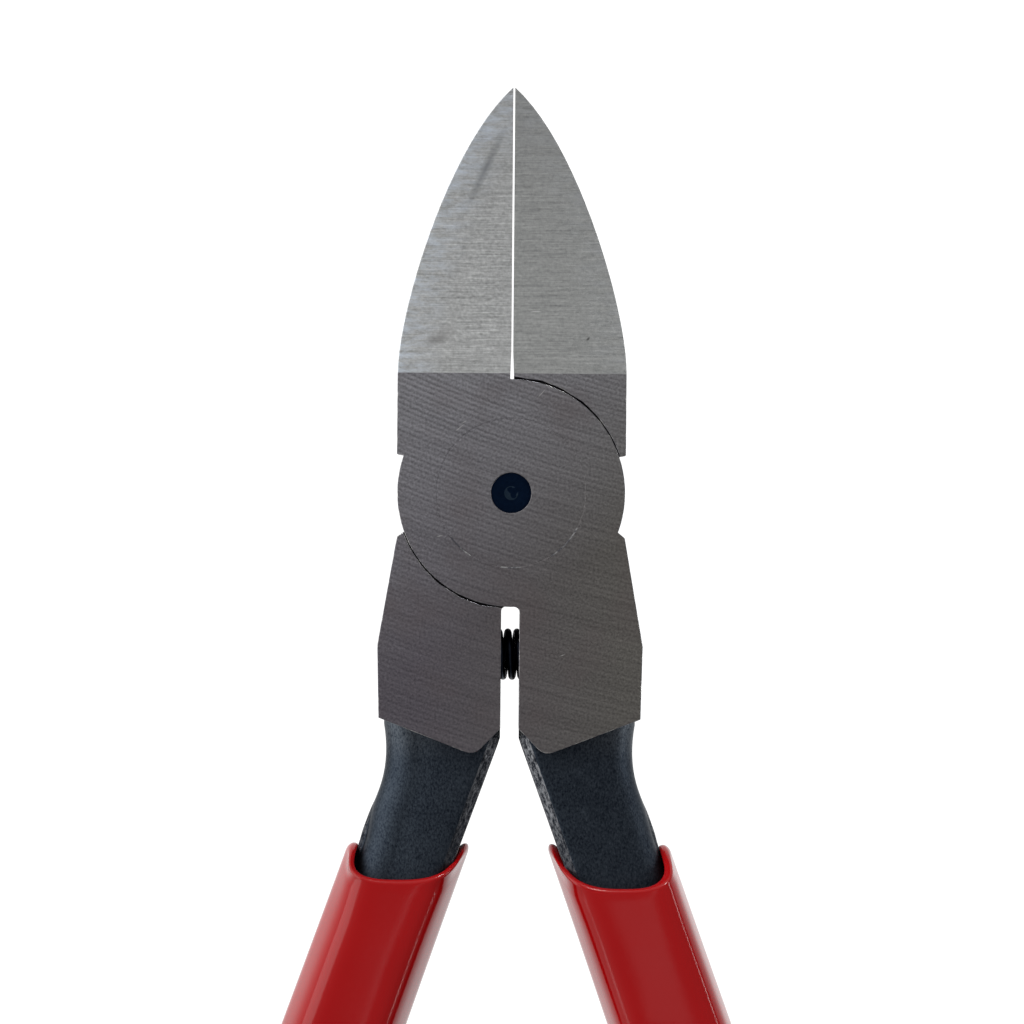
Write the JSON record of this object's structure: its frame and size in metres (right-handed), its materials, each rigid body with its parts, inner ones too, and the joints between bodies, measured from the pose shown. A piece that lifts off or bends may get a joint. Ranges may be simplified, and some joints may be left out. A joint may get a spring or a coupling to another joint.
{
  "type": "gate cutter",
  "caption": "Plastic gate cutter with flush hollow-ground blades, a lap joint on a flush rivet, a coil return spring in the slot between the shanks and red vinyl grips.",
  "frame": {"origin": "on the pivot axis, at the back face of the joint, on which the closed tool lies", "axes": "+Z out of the flush face along the pivot axis, +Y from the pivot to the blade tips, +X to the right seen from the flush face"},
  "size_m": [0.0544, 0.1581, 0.01],
  "materials": {
    "tool_steel": "forged tool steel, ground on the joint and blade faces, black oxide on the necks",
    "rivet_steel": "ground flush with the joint",
    "spring_wire": "oil-black spring wire",
    "grip_vinyl": "glossy dipped vinyl"
  },
  "bodies": {
    "front": {"front_half": "tool_steel", "pivot_rivet": "rivet_steel", "return_spring": "spring_wire", "right_grip": "grip_vinyl"},
    "rear": {"rear_half": "tool_steel", "left_grip": "grip_vinyl"}
  },
  "joints": [
    {"name": "blade_pivot", "type": "hinge", "parent": "front", "child": "rear", "pos_m": [0, 0, 0.005], "axis": [0, 0, -1], "range_deg": [0, 38], "stiffness_Nm_per_rad": 0.42, "springref_deg": 29.79, "deforming": ["return_spring"]}
  ]
}
